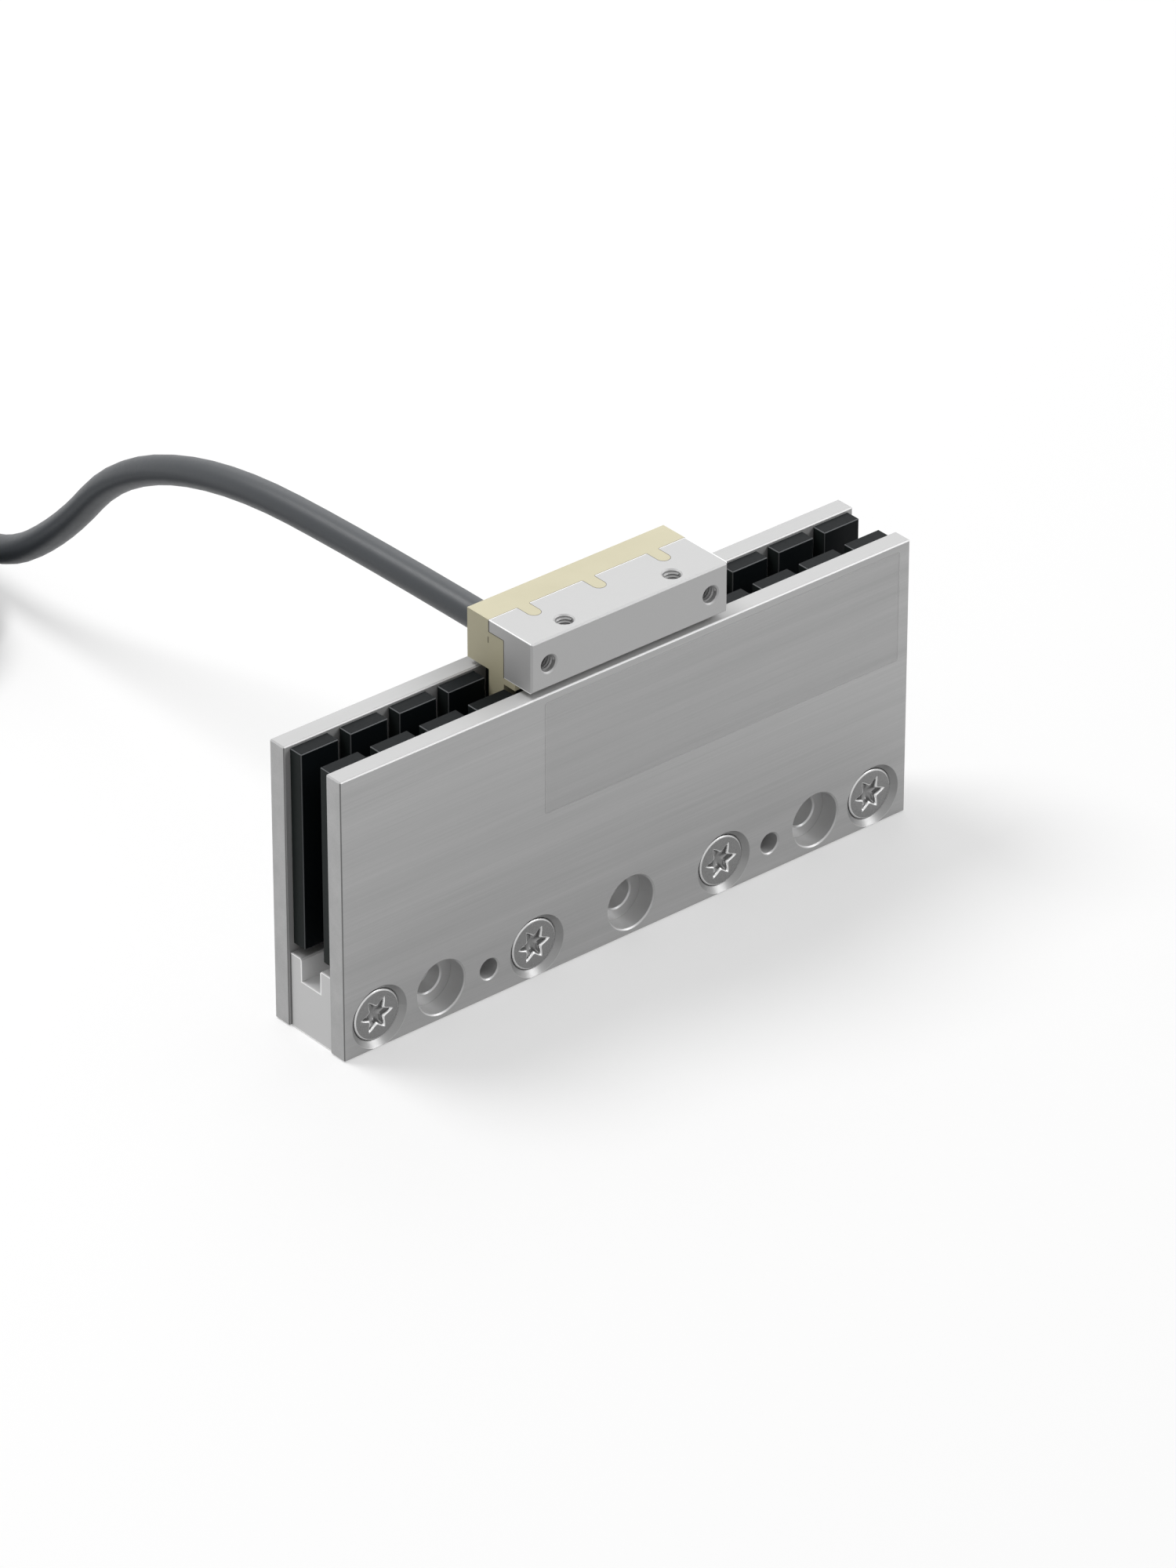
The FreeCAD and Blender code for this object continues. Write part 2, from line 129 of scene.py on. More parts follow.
def round_curve(name, radius, detail):
    curve = bpy.data.curves.new(name, "CURVE")
    curve.dimensions = "3D"
    curve.bevel_depth = radius
    curve.bevel_resolution = detail
    curve.use_fill_caps = True
    return curve


def add_line(curve, kind, points):
    spline = curve.splines.new(kind)
    spline.points.add(len(points) - 1)
    for control, point in zip(spline.points, points):
        control.co = (*point, 1)
    return spline


def smooth_line(name, radius, lines):
    """A round cord along each list of points, as one curve object."""
    curve = round_curve(name, radius, round_detail)
    for points in lines:
        spline = add_line(curve, "NURBS", points)
        spline.order_u = 3
        spline.use_endpoint_u = True
        spline.resolution_u = spline_steps
    return placed(name, curve)


coil_turns = [coil_point(i / turn_points) for i in range(round(turn_total * turn_points) + 1)]
cable = smooth_line("flying_cable", cable_radius, [cable_run + coil_turns + tail_run])
cable.data.materials.append(bpy.data.materials.new("cable_jacket"))
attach(cable, "coil_unit")
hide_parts("cable", "cable_coil", "cable_tail")


# Floor and light
# A plain white studio floor under a white sky, with a soft lamp behind on the left that throws the
# shadow to the front, a broad weak one behind on the right and a long one in front. None is part of it.
floor_reach = 3.0
floor_depth = 0.00005
floor_colour = (0.92, 0.92, 0.92, 1)
floor_bounce = (0.55, 0.55, 0.55, 1)
floor_glow = 0.42
glow_strength = 1.08
white = (1, 1, 1, 1)
sky_horizon = 0.2
sky_top = 0.65
# How many layers a noise has, for plain and for streaked or cloudy surfaces
plain_detail = 2.0
rich_detail = 3.0


class Value:
    """An output of a shader node. A sum or a test on it adds the Math nodes that it stands for."""

    def __init__(self, finish, socket):
        self.finish = finish
        self.socket = socket

    def maths(self, operation, *terms):
        return self.finish.node("Math", {"operation": operation}, dict(enumerate(terms)))

    def __add__(self, other):
        return self.maths("ADD", self, other)

    def __radd__(self, other):
        return self.maths("ADD", other, self)

    def __sub__(self, other):
        return self.maths("SUBTRACT", self, other)

    def __rsub__(self, other):
        return self.maths("SUBTRACT", other, self)

    def __mul__(self, other):
        return self.maths("MULTIPLY", self, other)

    def __rmul__(self, other):
        return self.maths("MULTIPLY", other, self)

    def __mod__(self, other):
        return self.maths("FLOORED_MODULO", self, other)

    def __abs__(self):
        return self.maths("ABSOLUTE", self)

    def __gt__(self, other):
        return self.maths("GREATER_THAN", self, other)

    def __lt__(self, other):
        return self.maths("LESS_THAN", self, other)


class Finish:
    """The nodes of one material, or of the sky."""

    def __init__(self, owner):
        owner.use_nodes = True
        self.owner = owner
        self.tree = owner.node_tree
        self.tree.nodes.clear()

    def node(self, kind, settings=(), sockets=(), output=0):
        made = self.tree.nodes.new("ShaderNode" + kind)
        for name, value in dict(settings).items():
            setattr(made, name, value)
        for name, value in dict(sockets).items():
            if isinstance(value, Value):
                self.tree.links.new(value.socket, made.inputs[name])
            else:
                made.inputs[name].default_value = value
        return Value(self, made.outputs[output] if made.outputs else None)

    def place(self, scale):
        # Where a point lies on the piece, with each direction stretched
        here = self.node("TexCoord", output="Object")
        return self.node("Mapping", {}, {"Vector": here, "Scale": scale})

    def axes(self, kind="Object"):
        here = self.node("TexCoord", output=kind)
        return [self.node("SeparateXYZ", {}, {"Vector": here}, axis) for axis in "XYZ"]

    def noise(self, scale, detail):
        return self.node("TexNoise", {}, {"Vector": self.place(scale), "Scale": 1.0, "Detail": detail})

    def grain(self, scale, detail):
        # A noise that is the same in each direction
        return self.noise((scale, scale, scale), detail)

    def blend(self, share, first, second):
        # A colour between two, by a share from 0 to 1
        colours = {"Factor": share, "A": first, "B": second}
        mixed = self.tree.nodes.new("ShaderNodeMix")
        mixed.data_type = "RGBA"
        for socket in mixed.inputs:
            if socket.enabled and socket.name in colours:
                value = colours[socket.name]
                if isinstance(value, Value):
                    self.tree.links.new(value.socket, socket)
                else:
                    socket.default_value = value
        return Value(self, [o for o in mixed.outputs if o.enabled][0])

    def relief(self, height, depth):
        return self.node("Bump", {}, {"Height": height, "Distance": depth, "Strength": 1.0})

    def done(self, **sockets):
        shader = self.node("BsdfPrincipled", {}, {k.replace("_", " "): v for k, v in sockets.items()})
        self.node("OutputMaterial", {}, {"Surface": shader})
        return self.owner


def new_finish(name):
    return Finish(bpy.data.materials.new(name))


def seen_directly(finish):
    # 1 for what the camera, a mirror or glass sees, 0 for what lights other surfaces
    camera_ray = finish.node("LightPath", output="Is Camera Ray")
    mirror_ray = finish.node("LightPath", output="Is Glossy Ray")
    glass_ray = finish.node("LightPath", output="Is Transmission Ray")
    return finish.node("Clamp", {}, {"Value": camera_ray + mirror_ray + glass_ray})


studio = new_finish("studio_floor")
seen = seen_directly(studio)
lit = studio.node("BsdfDiffuse", {}, {"Color": studio.blend(seen, floor_bounce, floor_colour)})
glow = studio.node("Emission", {}, {"Color": white, "Strength": glow_strength})
surface = studio.node("MixShader", {}, {0: seen * floor_glow, 1: lit, 2: glow})
studio.node("OutputMaterial", {}, {"Surface": surface})

floor_shape = bmesh.new()
bmesh.ops.create_grid(floor_shape, x_segments=1, y_segments=1, size=floor_reach)
bmesh.ops.translate(floor_shape, verts=floor_shape.verts, vec=(0, 0, -floor_depth))
floor_mesh = bpy.data.meshes.new("floor")
floor_shape.to_mesh(floor_mesh)
floor_shape.free()
floor_mesh.materials.append(studio.owner)
floor = placed("floor", floor_mesh)

sky = Finish(bpy.data.worlds.new("white_sky"))
bpy.context.scene.world = sky.owner
height = sky.node("Clamp", {}, {"Value": sky.axes("Generated")[2]})
daylight = sky_horizon + height * (sky_top - sky_horizon)
strength = daylight + seen_directly(sky) * (1 - daylight)
shining = sky.node("Background", {}, {"Color": white, "Strength": strength})
sky.node("OutputWorld", {}, {"Surface": shining})


def soft_lamp(name, place, width, height, power):
    # An oval lamp that faces the origin
    lamp = bpy.data.lights.new(name, "AREA")
    lamp.shape = "ELLIPSE"
    lamp.size = width
    lamp.size_y = height
    lamp.energy = power
    made = placed(name, lamp)
    made.location = place
    made.rotation_euler = Vector(place).to_track_quat("Z", "Y").to_euler()
    return made


key_lamp = soft_lamp("key_lamp", (-0.4, 0.8, 1.4), width=0.8, height=0.8, power=15.5)
back_lamp = soft_lamp("back_lamp", (0.9, 1.1, 0.95), width=1.3, height=1.3, power=4.0)
front_lamp = soft_lamp("front_lamp", (1.05, -0.75, 0.95), width=1.6, height=0.6, power=11.0)
# The front lamp lights the piece alone, so that the floor has one shadow
unlit = bpy.data.collections.new("out_of_front_light")
unlit.objects.link(floor)
unlit.collection_objects[0].light_linking.link_state = "EXCLUDE"
front_lamp.light_linking.receiver_collection = unlit


# Yoke plates
# Two steel plates, ground along their length and nickel plated. Each is drilled for four
# countersunk screws, three recessed mounting screws and two dowel pins.
plate_light = (0.53, 0.53, 0.53, 1)
plate_dark = (0.325, 0.325, 0.326, 1)
drilled_grey = (0.56, 0.56, 0.56, 1)
turned_grey = (0.31, 0.31, 0.31, 1)
top_grey = (0.47, 0.47, 0.47, 1)
slit_grey = (0.42, 0.42, 0.42, 1)
painted_highlight_grey = (0.70, 0.70, 0.70, 1)
painted_edge_shade = (0.16, 0.16, 0.16, 1)
plate_edge = 0.00016
face_skin = 0.00004
drilled_top = 0.0100
screw_places = (0.0165, 0.0435)
screw_cut = 0.0048
fine_grind = (55, 4200, 4200)
fine_share = 0.4
broad_grind = (9, 420, 420)
grind_depth = 0.000016
plate_rough = 0.26
marks_rough = 0.20
top_rough = 0.15
# How metallic the ground faces are, and what each of the other surfaces adds to it
plate_metallic = 0.55
hole_metallic = -0.25
cone_metallic = 0.30
slit_metallic = -0.45
top_metallic = -0.35


def dress(material, *nodes):
    for node in nodes:
        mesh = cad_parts[node].data
        mesh.materials.clear()
        mesh.materials.append(material)


def near_sides(places, low, high, reach):
    # For each direction, 1 where a point is close to one of the two sides of a box
    middles = [(low[i] + high[i]) / 2 for i in range(3)]
    return [abs(place - middles[i]) > (high[i] - middles[i] - reach) for i, place in enumerate(places)]


def ground_steel(node):
    steel = new_finish("ground_nickel_" + node)
    fine = steel.noise(fine_grind, rich_detail)
    broad = steel.noise(broad_grind, rich_detail)
    marks = fine * fine_share + broad * (1 - fine_share)
    along, across, up = steel.axes()
    low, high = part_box(node)
    inner, outer = sorted((abs(low.y), abs(high.y)))
    end, side, top = near_sides([along, across, up], low, high, plate_edge)
    # The face towards the magnets, the walls of the holes, and the turned countersinks among them
    slit = abs(across) < inner + face_skin
    hole = (abs(across) < outer - face_skin) * (up < drilled_top) * (1 - end) * (1 - top) * (1 - slit)
    near_screw = [abs(abs(along) - place) < screw_cut for place in screw_places]
    cone = hole * (near_screw[0] + near_screw[1])
    ground = steel.blend(top, steel.blend(marks, plate_dark, plate_light), top_grey)
    drilled = steel.blend(hole, ground, drilled_grey)
    turned = steel.blend(cone, drilled, turned_grey)
    # Painted shade darkens the upright edges at the ends, and a painted highlight lightens the long edges
    # of the top
    upright = steel.blend(end * side, steel.blend(slit, turned, slit_grey), painted_edge_shade)
    drilled_metallic = plate_metallic + hole * hole_metallic + cone * cone_metallic
    return steel.done(
        Base_Color=steel.blend(top * side, upright, painted_highlight_grey),
        Metallic=drilled_metallic + slit * slit_metallic + top * top_metallic,
        Roughness=plate_rough + marks * marks_rough + top * top_rough,
        Normal=steel.relief(marks, grind_depth),
    )


for plate in ("front_plate", "rear_plate"):
    dress(ground_steel(plate), plate)


# Label film
# A blank clear polymer film with rounded corners, stuck on the front plate.
film_left = -0.0150
film_right = 0.0476
film_low = 0.0247
film_high = 0.0418
film_thickness = 0.00006
film_sink = 0.00001
film_corner = 0.0004
corner_steps = 4
film_rim = 0.00016
film_grey = (0.30, 0.30, 0.30, 1)
film_rim_grey = (0.62, 0.62, 0.62, 1)
film_alpha = 0.06
film_rim_alpha = 0.20
film_rough = 0.35


def clear_film():
    film = new_finish("clear_film")
    places = film.axes()
    rim_x, _, rim_z = near_sides(places, (film_left, -1, film_low), (film_right, 1, film_high), film_rim)
    rim = (rim_x + rim_z) > 0.5
    return film.done(
        Base_Color=film.blend(rim, film_grey, film_rim_grey),
        Alpha=film_alpha + rim * film_rim_alpha,
        Roughness=film_rough,
    )


def piece(name, shape, material):
    """A finished mesh object from a bmesh."""
    mesh = bpy.data.meshes.new(name)
    shape.to_mesh(mesh)
    shape.free()
    mesh.materials.append(material)
    return placed(name, mesh)


film_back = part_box("front_plate")[0].y + film_sink
film_shape = bmesh.new()
bmesh.ops.create_cube(film_shape, size=1)
film_size = (film_right - film_left, film_thickness, film_high - film_low)
bmesh.ops.scale(film_shape, verts=film_shape.verts, vec=film_size)
film_place = ((film_left + film_right) / 2, film_back - film_thickness / 2, (film_low + film_high) / 2)
bmesh.ops.translate(film_shape, verts=film_shape.verts, vec=film_place)
film_corners = [e for e in film_shape.edges if abs((e.verts[0].co - e.verts[1].co).y) > film_thickness / 2]
bmesh.ops.bevel(
    film_shape, geom=film_corners, offset=film_corner, segments=corner_steps, profile=0.5,
    affect="EDGES", material=-1,
)
label_film = piece("label_film", film_shape, clear_film())
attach(label_film, "yoke")


# Base bar
# The aluminium bar that the plates are screwed to, with a milled groove along its top in which
# the coil unit's lower edge runs.
painted_light_grey = (0.85, 0.85, 0.85, 1)
painted_highlight_white = (0.95, 0.95, 0.95, 1)
base_grey = (0.60, 0.60, 0.60, 1)
mill_depth = 0.000005
mill_rough = 0.14
groove_half = 0.00195
groove_depth = 0.0035
groove_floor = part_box("base_bar")[1].z - groove_depth


def milled_aluminium(name, node, colour, edge, metallic, roughness, grain, slot_half=-1.0, slot_floor=0.0):
    metal = new_finish(name)
    marks = metal.grain(grain, rich_detail)
    along, across, up = metal.axes()
    low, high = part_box(node)
    end, side, top = near_sides([along, across, up], low, high, edge)
    # Painted light brightens the walls of a slot along the middle and the underside, which is not
    # metallic, and a painted highlight brightens the slot's outline on the ends and the top
    slot = (abs(across) < slot_half + face_skin) * (1 - end) * (1 - top)
    outline = (abs(across) < slot_half + edge) * (up > slot_floor - edge) * ((end + top) > 0.5)
    under = up < low.z + face_skin
    plain = metal.blend(slot + under, colour, painted_light_grey)
    # Painted shade darkens the upright edges at the ends, and a painted highlight brightens the top's
    # edges
    upright = metal.blend(end * side, plain, painted_edge_shade)
    return metal.done(
        Base_Color=metal.blend((top * (end + side) + outline) > 0.5, upright, painted_highlight_white),
        Metallic=metallic * (1 - under),
        Roughness=roughness + marks * mill_rough,
        Normal=metal.relief(marks, mill_depth),
    )


base_finish = milled_aluminium(
    "milled_bar", "base_bar", base_grey, edge=0.0002, metallic=0.45, roughness=0.3, grain=2600,
    slot_half=groove_half, slot_floor=groove_floor,
)
dress(base_finish, "base_bar")


# Magnets
# Twelve sintered blocks glued to the inner side of each plate, with a thin black epoxy coat that
# has a painted highlight along its edges and is a little paler on the ends.
magnet_edge = 0.00013
coat_black = (0.005, 0.0066, 0.0075, 1)
coat_end = (0.016, 0.020, 0.0195, 1)
coat_edge_highlight = (0.13, 0.135, 0.14, 1)
coat_gleam = 0.06
coat_rough = 0.34
peel_scale = 1500
peel_depth = 0.00001
peel_rough = 0.12
magnet_nodes = [f"{side}_magnet_{i:02d}" for side in ("front", "rear") for i in range(1, 13)]


def magnet_coat(side):
    coat = new_finish("black_epoxy_coat_" + side)
    peel = coat.grain(peel_scale, plain_detail)
    along, across, up = coat.axes()
    low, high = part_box(side + "_magnet_01")
    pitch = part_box(side + "_magnet_02")[0].x - low.x
    # Where a point would lie on the row's first magnet
    first = (along - low.x) % pitch + low.x
    near_end, near_face, near_top = near_sides([first, across, up], low, high, magnet_edge)
    # A painted highlight along every edge of each block
    highlighted_edge = (near_end + near_face + near_top) > 1.5
    return coat.done(
        Base_Color=coat.blend(highlighted_edge, coat.blend(near_end, coat_black, coat_end), coat_edge_highlight),
        Roughness=coat_rough + peel * peel_rough,
        Specular_IOR_Level=coat_gleam,
        Normal=coat.relief(peel, peel_depth),
    )


for side in ("front", "rear"):
    dress(magnet_coat(side), *[node for node in magnet_nodes if node.startswith(side)])


# Screws
# Countersunk steel screws with a six-lobed driver recess, four from each side. The heads are cold
# formed, with a rolled rim and a rounded mouth to the recess, and lie below the plate's face.
screw_head = 0.0038
head_depth = 0.00205
screw_shank = 0.0020
screw_tip = 0.0016
tip_edge = 0.0004
screw_length = 0.0061
screw_height = 0.00475
screw_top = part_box("rear_screws")[1].y
lobe_count = 6
lobe_waist = 0.0012
lobe_reach = 0.0024
rim_width = 0.00036
rim_depth = 0.00025
lip = 0.0004
# The recess below its rounded mouth, down to the middle of its floor
recess_rings = [
    (0.00085, lobe_waist - 0.00008, lobe_reach - 0.00024),
    (0.00095, lobe_waist - 0.00020, lobe_reach - 0.00060),
    (0.00105, 0.00080, 0.00090),
    (0.00118, 0.00030, 0.00030),
]
round_steps = 4
ring_points = 96
# Where each part of the finish begins or ends, below the head's top or out from the screw's middle
head_skin = 0.00001
lip_highlight_depth = 0.00034
rim_highlight_depth = 0.00016
recess_wall = 0.00083
recess_reach = 0.00295
head_dark = (0.24, 0.24, 0.24, 1)
head_light = (0.29, 0.29, 0.29, 1)
recess_wall_light = (0.34, 0.34, 0.34, 1)
head_side_shade = (0.05, 0.05, 0.05, 1)
rim_highlight_grey = (0.66, 0.66, 0.66, 1)
lip_highlight_grey = (0.80, 0.80, 0.80, 1)
head_metallic = 0.9
head_rough = 0.24
head_grain = 2600
head_grain_depth = 0.000002
head_grain_rough = 0.08


def rounded(depth, width):
    # Steps of a quarter round, as shares of its depth and width
    turns = [math.pi / 2 * i / round_steps for i in range(round_steps + 1)]
    return [(depth * (1 - math.cos(turn)), width * (1 - math.sin(turn))) for turn in turns]


# One screw's surface as rings, from its tip over the rim to the recess's floor: how deep each lies
# below the head's top, and its radius between the lobes and at the lobes
screw_rings = [
    (screw_length, screw_tip, screw_tip),
    (screw_length - tip_edge, screw_shank, screw_shank),
    (head_depth, screw_shank, screw_shank),
]
for depth, inset in rounded(rim_depth, rim_width)[::-1]:
    screw_rings.append((depth, screw_head - inset, screw_head - inset))
screw_rings.append((0, screw_head - 2 * rim_width, screw_head - 2 * rim_width))
for depth, inset in rounded(lip, lip):
    screw_rings.append((depth, lobe_waist + inset, lobe_reach + inset))
screw_rings += recess_rings


def place_ring(points, depth, waist, reach):
    # Pointed lobes with round flanks between them, where the radius at the lobes is the larger
    for point in points:
        angle = math.atan2(point.co.z, point.co.x)
        lobe = 1 - abs(math.sin(lobe_count / 2 * angle))
        radius = waist + (reach - waist) * lobe
        point.co = (radius * math.cos(angle), depth, radius * math.sin(angle))


def screw_shape():
    # One screw, its head's top at y = 0 and its shank towards +Y
    shape = bmesh.new()
    upright = Matrix.Rotation(math.pi / 2, 4, "X")
    ring = bmesh.ops.create_circle(
        shape, cap_ends=True, radius=screw_tip, segments=ring_points, matrix=upright
    )["verts"]
    place_ring(ring, *screw_rings[0])
    edges = list(shape.edges)
    for depth, waist, reach in screw_rings[1:]:
        grown = bmesh.ops.extrude_edge_only(shape, edges=edges)["geom"]
        edges = [item for item in grown if isinstance(item, bmesh.types.BMEdge)]
        place_ring([item for item in grown if isinstance(item, bmesh.types.BMVert)], depth, waist, reach)
        edges = [edge for edge in edges if edge.is_boundary]
    bmesh.ops.contextual_create(shape, geom=edges)
    for face in shape.faces:
        face.smooth = True
    return shape


def gathered(shape, places):
    """Copies of one shape at each of the places, as one shape."""
    whole = bmesh.new()
    part = bpy.data.meshes.new("part")
    for place in places:
        copy = shape.copy()
        copy.transform(place)
        copy.to_mesh(part)
        copy.free()
        whole.from_mesh(part)
    shape.free()
    bpy.data.meshes.remove(part)
    bmesh.ops.recalc_face_normals(whole, faces=whole.faces)
    return whole


def screw_row(node, head_top, turned):
    places = [x for place in screw_places for x in (-place, place)]
    matrices = [Matrix.Translation((x, head_top, screw_height)) @ turned for x in places]
    row = piece(node + "_row", gathered(screw_shape(), matrices), screw_finish)
    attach(row, "yoke")
    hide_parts(node)


def screw_steel():
    steel = new_finish("screw_steel")
    grain = steel.grain(head_grain, rich_detail)
    along, across, up = steel.axes()
    depth = screw_top - abs(across)
    # Within the driver recess of any screw in the row
    level = up - screw_height
    asides = [abs(abs(along) - place) for place in screw_places]
    recesses = [aside * aside + level * level < recess_reach**2 for aside in asides]
    recess = recesses[0] + recesses[1]
    # A painted highlight lightens the recess's rounded lip and the rim against the flat of the head,
    #     # painted light lifts the recess's walls, and painted shade darkens the head's slanting outer
    #     side
    lip_highlight_mask = recess * (depth > head_skin) * (depth < lip_highlight_depth)
    rim_highlight_mask = (1 - recess) * (depth > head_skin) * (depth < rim_highlight_depth)
    wall = recess * (depth > lip_highlight_depth) * (depth < recess_wall)
    outside = (1 - recess) * (depth > rim_highlight_depth)
    flat = steel.blend(grain, head_dark, head_light)
    sunk = steel.blend(outside, steel.blend(wall, flat, recess_wall_light), head_side_shade)
    rimmed = steel.blend(rim_highlight_mask, sunk, rim_highlight_grey)
    return steel.done(
        Base_Color=steel.blend(lip_highlight_mask, rimmed, lip_highlight_grey),
        Metallic=head_metallic,
        Roughness=head_rough + grain * head_grain_rough,
        Normal=steel.relief(grain, head_grain_depth),
    )


screw_finish = screw_steel()
screw_row("front_screws", -screw_top, Matrix.Identity(4))
screw_row("rear_screws", screw_top, Matrix.Rotation(math.pi, 4, "Z"))


# Mounting bar
# The coil unit's aluminium bar, fine blasted, with tapped holes on top and in front.
blasted_grey = (0.475, 0.475, 0.475, 1)

bar_finish = milled_aluminium(
    "blasted_bar", "mounting_bar", blasted_grey, edge=0.00012, metallic=0.55, roughness=0.52, grain=6000
)
dress(bar_finish, "mounting_bar")


# Threads
# The screw threads cut into the bar's four tapped holes, two on top and two in front.
thread_pitch = 0.0005
thread_crest = 0.00112
thread_root = 0.00127
thread_turns = 7
thread_start = 0.00035
thread_fill = 0.9
thread_steps = 24
unit_middle = -0.0002
top_hole_spacing = 0.0186
top_hole_setback = 0.0025
side_hole_spacing = 0.0280
side_hole_lift = 0.0036
thread_grey = (0.42, 0.42, 0.42, 1)
thread_metallic = 0.85
thread_rough = 0.34
thread_grain = 5000
thread_grain_rough = 0.15

bar_low, bar_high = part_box("mounting_bar")


def thread_shape():
    # A ridge wound down a hole whose mouth is at the origin and whose axis is upright
    shape = bmesh.new()
    section = [
        (thread_root, -thread_start),
        (thread_crest, -thread_start - thread_pitch / 2),
        (thread_root, -thread_start - thread_pitch * thread_fill),
    ]
    ring = [shape.verts.new((radius, 0, height)) for radius, height in section]
    edges = [shape.edges.new((ring[i - 1], ring[i])) for i in range(3)]
    bmesh.ops.spin(
        shape, geom=ring + edges, cent=(0, 0, 0), axis=(0, 0, 1),
        dvec=(0, 0, -thread_pitch / thread_steps), angle=thread_turns * math.tau,
        steps=thread_turns * thread_steps, use_duplicate=False,
    )
    bmesh.ops.holes_fill(shape, edges=[e for e in shape.edges if e.is_boundary], sides=3)
    return shape


def cut_thread():
    metal = new_finish("cut_thread")
    grain = metal.grain(thread_grain, plain_detail)
    return metal.done(
        Base_Color=thread_grey,
        Metallic=thread_metallic,
        Roughness=thread_rough + grain * thread_grain_rough,
    )


lying = Matrix.Rotation(math.pi / 2, 4, "X")
mouths = []
for side in (-0.5, 0.5):
    top_x = unit_middle + side * top_hole_spacing
    side_x = unit_middle + side * side_hole_spacing
    mouths.append(Matrix.Translation((top_x, bar_low.y + top_hole_setback, bar_high.z)))
    mouths.append(Matrix.Translation((side_x, bar_low.y, bar_low.z + side_hole_lift)) @ lying)
bar_threads = piece("bar_threads", gathered(thread_shape(), mouths), cut_thread())
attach(bar_threads, "coil_unit")


# Coil body
# Cream epoxy cast round the windings and into the bar's slots in one go.
epoxy_dark = (0.48, 0.445, 0.305, 1)
epoxy_light = (0.545, 0.508, 0.358, 1)
epoxy_cloud = 160
epoxy_rough = 0.42
epoxy_grain = 5000
epoxy_grain_depth = 0.000006
epoxy_grain_rough = 0.12


def cast_epoxy():
    resin = new_finish("cast_epoxy")
    cloud = resin.grain(epoxy_cloud, rich_detail)
    grain = resin.grain(epoxy_grain, plain_detail)
    return resin.done(
        Base_Color=resin.blend(cloud, epoxy_dark, epoxy_light),
        Roughness=epoxy_rough + grain * epoxy_grain_rough,
        Normal=resin.relief(grain, epoxy_grain_depth),
    )


dress(cast_epoxy(), "epoxy_body")


# Resin line
# The thin dark line of resin between the bar and the cast body: down both ends of the head and,
# fainter, along the top round the keys. Below it on the left end, a short dark bead is painted shade that
# stands for a small slit left by the mould.
blade_half = 0.00154
key_spacing = 0.0112
key_offset = 0.0001
key_half = 0.0010
key_tip = -0.0017
key_root = 0.00025
line_radius = 0.00005
line_detail = 2
line_faint = 0.55
lip_height = 0.0018
lip_bottom = bar_high.z - lip_height
arc_steps = 6
mark_y = 0.00164
mark_low = 0.0479
mark_high = 0.0488
resin_dark = (0.05, 0.04, 0.03, 1)
resin_light = (0.13, 0.11, 0.08, 1)
resin_stain = 900
resin_rough = 0.5


def arc_points(centre, radius, first, last):
    middle_x, middle_y = centre
    angles = [math.radians(first + (last - first) * i / arc_steps) for i in range(arc_steps + 1)]
    return [(middle_x + radius * math.cos(a), middle_y + radius * math.sin(a), bar_high.z) for a in angles]


def key_points(x):
    # Round one key, from its left root over its tip to its right root
    root_y = blade_half - key_root
    left = arc_points((x - key_half - key_root, root_y), key_root, 90, 0)
    tip = arc_points((x, key_tip + key_half), key_half, 180, 360)
    right = arc_points((x + key_half + key_root, root_y), key_root, 180, 90)
    return left + tip + right


def end_points(x):
    # Down one end of the head, from the top to the bar's underside
    return [
        (x, blade_half, bar_high.z),
        (x, blade_half, lip_bottom),
        (x, -blade_half, lip_bottom),
        (x, -blade_half, bar_low.z),
    ]


def fine_line(name, radius, lines):
    """Thin beads along points that are joined by straight runs, each with its share of the radius."""
    curve = round_curve(name, radius, line_detail)
    for points, share in lines:
        for control in add_line(curve, "POLY", points).points:
            control.radius = share
    return placed(name, curve)


top_line = [(bar_low.x, blade_half, bar_high.z)]
for place in (-1, 0, 1):
    top_line += key_points(unit_middle + key_offset + place * key_spacing)
top_line.append((bar_high.x, blade_half, bar_high.z))
mould_slit_shade = [(bar_low.x, mark_y, mark_low), (bar_low.x, mark_y, mark_high)]
resin_line = fine_line("resin_line", line_radius, [
    (top_line, line_faint),
    (end_points(bar_low.x), 1),
    (end_points(bar_high.x), 1),
    (mould_slit_shade, 1),
])


def dark_resin():
    resin = new_finish("dark_resin")
    stain = resin.grain(resin_stain, plain_detail)
    return resin.done(Base_Color=resin.blend(stain, resin_dark, resin_light), Roughness=resin_rough)


resin_line.data.materials.append(dark_resin())
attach(resin_line, "coil_unit")


# Inside the coil body
# Three windings of enamelled copper wire, the board that joins them to the cable, the temperature
# sensor, and the rubber bushing round the cable. All are cast into the epoxy.
copper_red = (0.62, 0.24, 0.09, 1)
mask_green = (0.02, 0.16, 0.06, 1)
sensor_black = (0.03, 0.03, 0.03, 1)
rubber_black = (0.028, 0.030, 0.033, 1)
smooth_grain = 2200
smooth_grain_rough = 0.12


def moulded(name, colour, roughness, metallic=0.0, unevenness=0.000008):
    # A smooth finish whose gloss varies a little over the surface
    surface = new_finish(name)
    grain = surface.grain(smooth_grain, plain_detail)
    return surface.done(
        Base_Color=colour,
        Roughness=roughness + grain * smooth_grain_rough,
        Metallic=metallic,
        Normal=surface.relief(grain, unevenness),
    )


enamel = moulded("enamelled_copper", copper_red, roughness=0.3, metallic=1.0)
dress(enamel, "winding_u", "winding_v", "winding_w")
dress(moulded("solder_mask", mask_green, roughness=0.35), "wiring_board")
dress(moulded("sensor_case", sensor_black, roughness=0.45), "temperature_sensor")
dress(moulded("bushing_rubber", rubber_black, roughness=0.5), "cable_bushing")


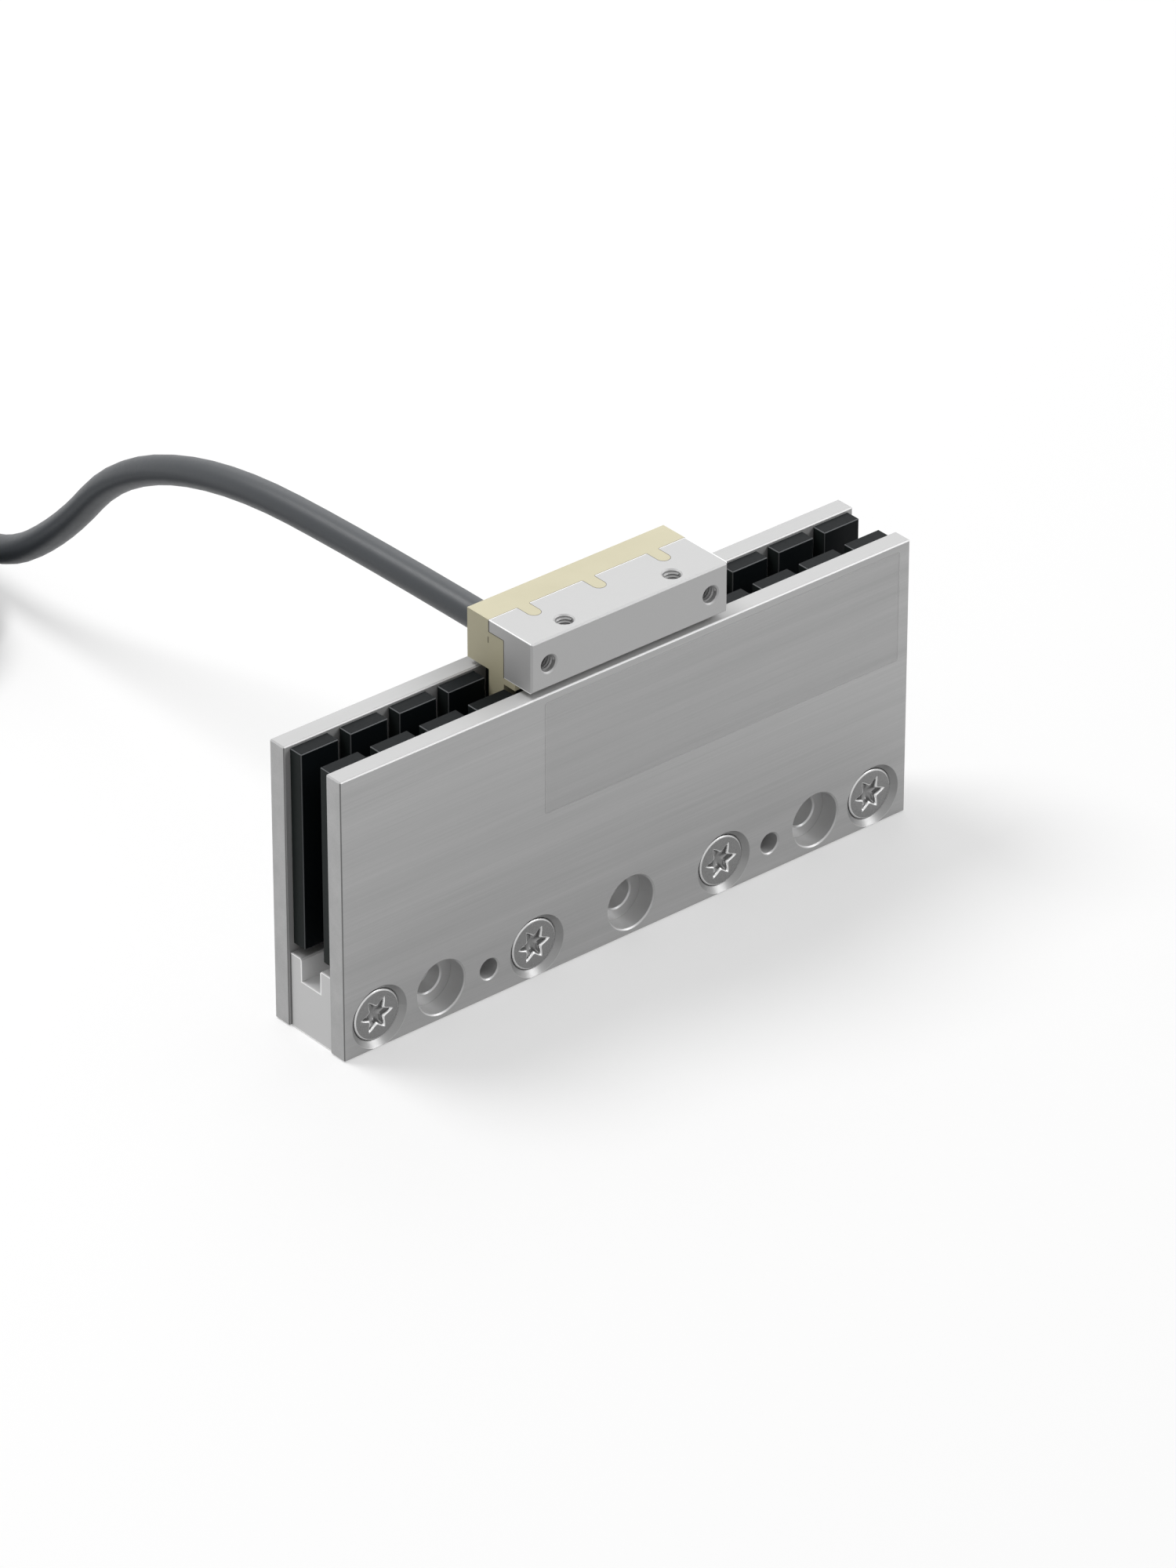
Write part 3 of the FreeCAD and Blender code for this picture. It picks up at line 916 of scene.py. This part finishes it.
# Cable's jacket and fittings
# The jacket is plain extruded polymer. A tie holds the stored turns, and at the loose end a shrunk
# sleeve covers the jacket's edge, where six insulated cores come out, each with a crimped ferrule.
jacket_grey = (0.040, 0.045, 0.051, 1)
jacket_rough = 0.36
jacket_grain = 1400
jacket_grain_depth = 0.00001
jacket_grain_rough = 0.12
tie_black = (0.020, 0.020, 0.022, 1)
sleeve_black = (0.018, 0.018, 0.020, 1)
tin_grey = (0.50, 0.50, 0.49, 1)
tin_unevenness = 0.000001
core_rough = 0.32
sleeve_length = 0.0120
core_radius = 0.0006
core_ring = 0.0013
core_spacing = 0.0026
core_straight = 0.0040
core_reach = 0.0290
ferrule_length = 0.0060
core_rest = 0.0009
# Three phases, the protective earth and the temperature sensor's pair
core_colours = {
    "black": (0.02, 0.02, 0.021, 1),
    "brown": (0.09, 0.035, 0.015, 1),
    "grey": (0.22, 0.22, 0.22, 1),
    "green": (0.05, 0.26, 0.05, 1),
    "white": (0.7, 0.7, 0.68, 1),
    "red": (0.5, 0.03, 0.02, 1),
}


jacket = Finish(cable.data.materials[0])
jacket_marks = jacket.grain(jacket_grain, plain_detail)
jacket.done(
    Base_Color=jacket_grey,
    Roughness=jacket_rough + jacket_marks * jacket_grain_rough,
    Normal=jacket.relief(jacket_marks, jacket_grain_depth),
)
tinned = moulded("tinned_copper", tin_grey, roughness=0.24, metallic=1.0, unevenness=tin_unevenness)
dress(moulded("tie_nylon", tie_black, roughness=0.35), "cable_tie")
dress(moulded("shrink_sleeve", sleeve_black, roughness=0.38), "end_sleeve")
dress(tinned, "lead_ferrules")


def core_lines():
    # Out of the sleeve side by side in a ring, then fanned out and down to the surface
    along = (Vector(tail_run[-1]) - Vector(tail_run[-2])).normalized()
    across = Vector((-along.y, along.x, 0))
    mouth = Vector(tail_run[-1]) + along * sleeve_length
    down = Vector((0, 0, core_rest - mouth.z))
    count = len(core_colours)
    angles = [(i + 0.5) / count * math.tau for i in range(count)]
    lines = []
    for angle in angles:
        offset = across * (core_ring * math.cos(angle)) + Vector((0, 0, core_ring * math.sin(angle)))
        rank = sum((math.cos(a), a) < (math.cos(angle), angle) for a in angles)
        side = across * ((rank - (count - 1) / 2) * core_spacing)
        corner = mouth + offset + along * core_straight
        tip = mouth + side + down + along * core_reach
        back = (corner - tip).normalized() * ferrule_length
        lines.append([mouth + offset, corner, tip + back])
    return lines


cores = smooth_line("insulated_cores", core_radius, core_lines())
for number, (name, colour) in enumerate(core_colours.items()):
    cores.data.materials.append(moulded("insulation_" + name, colour, core_rough))
    cores.data.splines[number].material_index = number
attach(cores, "coil_unit")
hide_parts("lead_wires")
